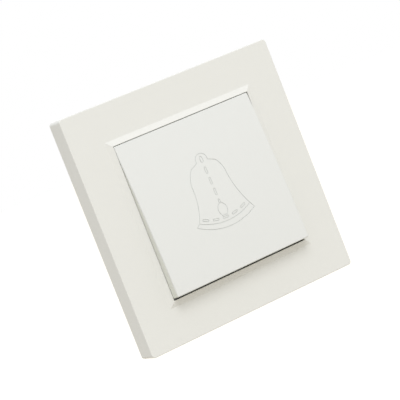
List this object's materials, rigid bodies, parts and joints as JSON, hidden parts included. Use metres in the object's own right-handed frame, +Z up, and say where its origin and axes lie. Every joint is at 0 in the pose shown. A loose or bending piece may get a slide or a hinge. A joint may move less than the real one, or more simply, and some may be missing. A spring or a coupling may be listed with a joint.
{
  "type": "doorbell switch",
  "caption": "Flush-mounted bell push: square off-white cover frame with a sloped rim and a large spring-return rocker engraved with a bell, on a screw-fixed switch insert.",
  "frame": {"origin": "middle of the wall plane, at the back of the mounting strap", "axes": "+Z up, +X to the right seen from the front, the front faces -Y"},
  "size_m": [0.085, 0.0347, 0.085],
  "materials": {
    "cover_plastic": "moulded, satin gloss",
    "rocker_plastic": "moulded, satin gloss",
    "insert_plastic": "moulded, matt",
    "dolly_plastic": "moulded, matt",
    "plunger_plastic": "moulded, smooth",
    "strap_steel": "zinc plated",
    "claw_steel": "zinc plated",
    "screw_steel": "zinc plated",
    "clamp_steel": "zinc plated",
    "spring_steel": "bright wire",
    "terminal_brass": "stamped",
    "blade_bronze": "stamped",
    "contact_silver": "bright"
  },
  "bodies": {
    "base": {"cover_frame": "cover_plastic", "mounting_strap": "strap_steel", "bearing_frame": "insert_plastic", "mechanism_housing": "insert_plastic", "strap_screws": "screw_steel", "claw_screws": "screw_steel", "claw_nuts": "screw_steel", "common_terminal": "terminal_brass", "fixed_terminal": "terminal_brass", "fixed_contact": "contact_silver", "common_clamp": "clamp_steel", "fixed_clamp": "clamp_steel", "common_screw": "screw_steel", "fixed_screw": "screw_steel", "return_spring": "spring_steel"},
    "rocker": {"rocker": "rocker_plastic", "dolly": "dolly_plastic", "plunger_spring": "spring_steel"},
    "plunger": {"plunger": "plunger_plastic"},
    "blade": {"contact_blade": "blade_bronze", "moving_contact": "contact_silver"},
    "claw_left": {"claw_left": "claw_steel"},
    "claw_right": {"claw_right": "claw_steel"}
  },
  "joints": [
    {"name": "rocker_tilt", "type": "hinge", "parent": "base", "child": "rocker", "pos_m": [0, -0.0046, 0], "axis": [1, 0, 0], "range_deg": [0, 8.2], "stiffness_Nm_per_rad": 0.15, "springref_deg": -20.05, "deforming": ["return_spring"]},
    {"name": "plunger_slide", "type": "slide", "parent": "rocker", "child": "plunger", "axis": [0, -0.9974, 0.0715], "range_m": [0, 0.0008], "stiffness_N_per_m": 300, "springref_m": -0.003, "deforming": ["plunger_spring"]},
    {"name": "blade_rock", "type": "hinge", "parent": "base", "child": "blade", "pos_m": [0, 0.01089, 0], "axis": [1, 0, 0], "range_deg": [-6.98, 0]},
    {"name": "claw_left_swing", "type": "hinge", "parent": "base", "child": "claw_left", "pos_m": [-0.0206, 0.0014, 0], "axis": [0, 0, 1], "range_deg": [0, 20]},
    {"name": "claw_right_swing", "type": "hinge", "parent": "base", "child": "claw_right", "pos_m": [0.0206, 0.0014, 0], "axis": [0, 0, -1], "range_deg": [0, 20]}
  ],
  "couplings": [
    {"joint": "blade_rock", "follows": "rocker_tilt", "ratio": -0.85}
  ]
}
